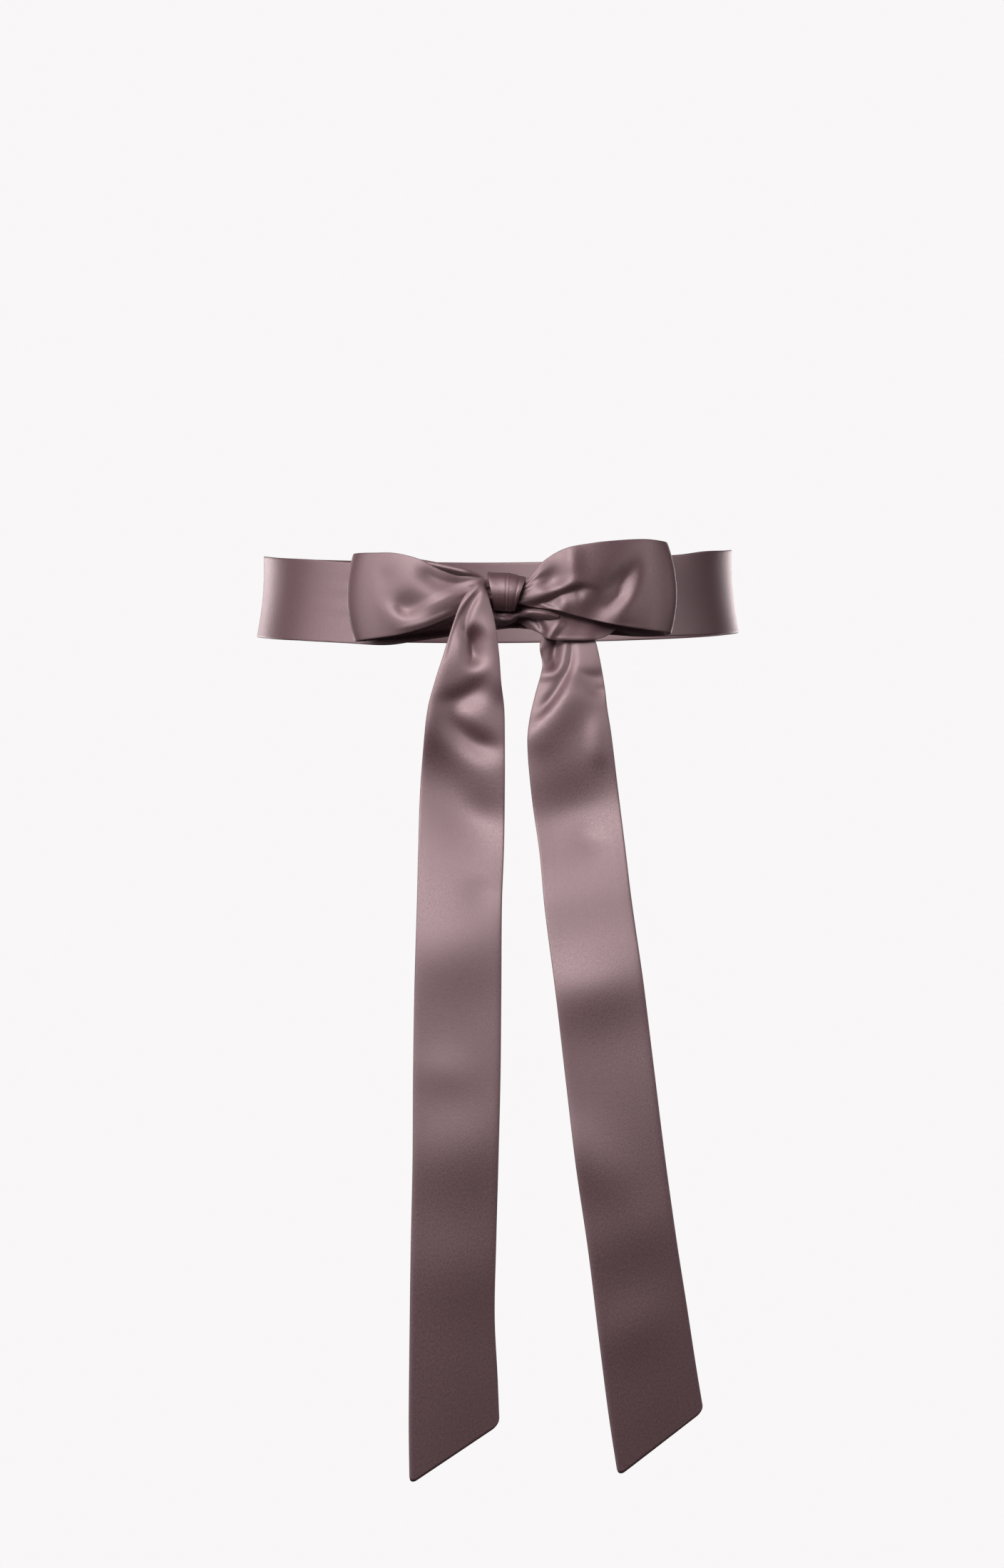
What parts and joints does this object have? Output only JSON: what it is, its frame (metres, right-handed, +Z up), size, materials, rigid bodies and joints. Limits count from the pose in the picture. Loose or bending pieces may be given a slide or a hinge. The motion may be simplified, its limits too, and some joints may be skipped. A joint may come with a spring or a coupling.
{
  "type": "satin waist sash tied in a bow",
  "caption": "Satin ribbon sash worn round a waist and tied behind in a flat bow with long slant-cut tails.",
  "frame": {"origin": "middle of the waist hollow at half the band's height, where the wearer holds the sash up", "axes": "+Z up along the wearer, -Y towards the bow at the wearer's back, +Y towards the wearer's front, +X to the right as seen from behind"},
  "size_m": [0.3176, 0.2778, 0.5975],
  "materials": {
    "satin": "dusty mauve satin with a soft broad sheen"
  },
  "bodies": {
    "root": {"waist_band": "satin", "loop_left": "satin", "loop_right": "satin", "knot_wrap": "satin", "knot_under": "satin", "flap_right": "satin", "tail_left": "satin", "tail_right": "satin"}
  },
  "joints": []
}
